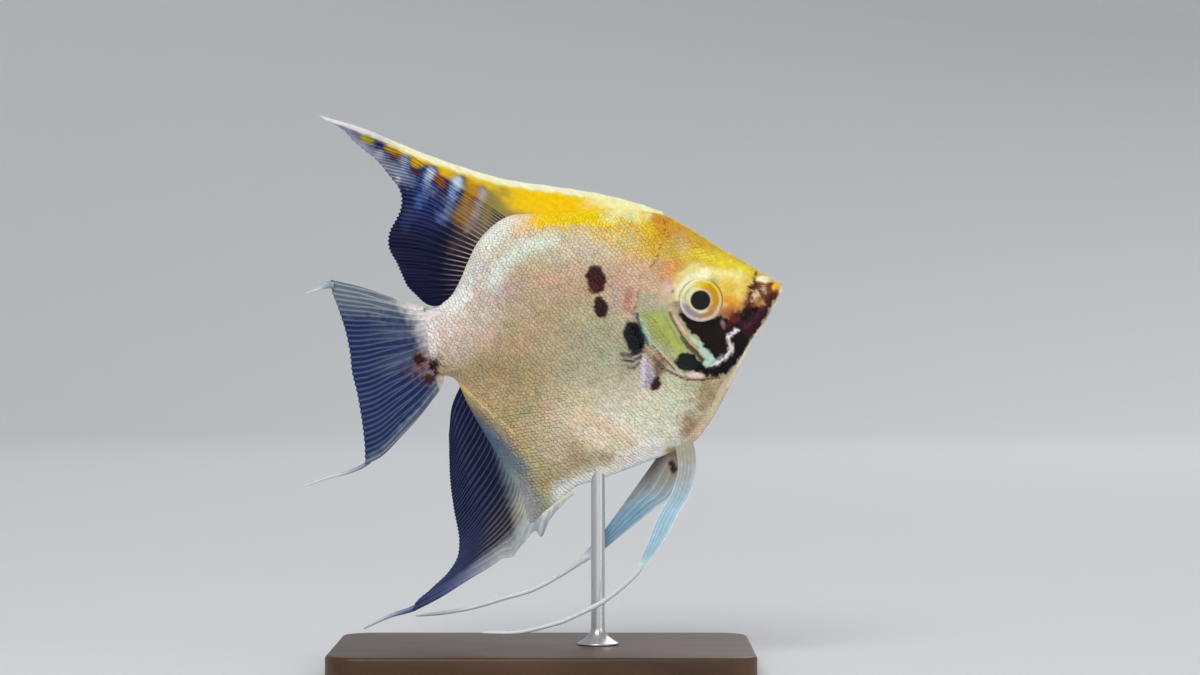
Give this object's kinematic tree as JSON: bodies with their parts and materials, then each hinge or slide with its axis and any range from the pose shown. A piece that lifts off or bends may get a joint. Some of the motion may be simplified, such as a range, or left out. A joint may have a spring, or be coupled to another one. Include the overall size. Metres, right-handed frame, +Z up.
{
  "type": "marble angelfish model on a display stand",
  "caption": "Life-size still model of a marble angelfish with long fins and filaments, held nose-up over a flat base by a rod.",
  "frame": {"origin": "middle of the whole model's box, on the surface that the base rests on", "axes": "+X towards the fish's head, +Y to its left side, +Z up"},
  "size_m": [0.1032, 0.06, 0.1193],
  "materials": {
    "skin": "satin skin of fine scales, cream with gold back and black marbling",
    "lips": "moist, dark brown with yellow tip",
    "gill_cover": "smooth, green-gold sheen",
    "eye": "polished, gold iris round a black pupil",
    "fin_gold": "rayed membrane, gold",
    "fin_blue": "rayed membrane, navy blue",
    "fin_tail": "rayed membrane, slate blue",
    "fin_pale": "pale blue to white filaments",
    "fin_clear": "clear membrane with pale rays",
    "stand_wood": "dark stained, satin",
    "stand_steel": "satin"
  },
  "bodies": {
    "root": {"head": "skin", "upper_jaw": "lips", "lower_jaw": "lips", "gill_cover_left": "gill_cover", "gill_cover_right": "gill_cover", "trunk": "skin", "caudal_peduncle": "skin", "eye_left": "eye", "eye_right": "eye", "dorsal_fin_spiny": "fin_gold", "dorsal_fin_soft": "fin_blue", "anal_fin_spiny": "fin_blue", "anal_fin_soft": "fin_blue", "anal_fin_filament": "fin_blue", "caudal_fin": "fin_tail", "caudal_filament_upper": "fin_pale", "caudal_filament_lower": "fin_pale", "pelvic_fin_right": "fin_pale", "pelvic_fin_left": "fin_pale", "pelvic_filament_right_1": "fin_pale", "pelvic_filament_right_2": "fin_pale", "pelvic_filament_left_1": "fin_pale", "pelvic_filament_left_2": "fin_pale", "pectoral_fin_left": "fin_clear", "pectoral_fin_right": "fin_clear", "stand_base": "stand_wood", "stand_rod": "stand_steel"}
  },
  "joints": []
}
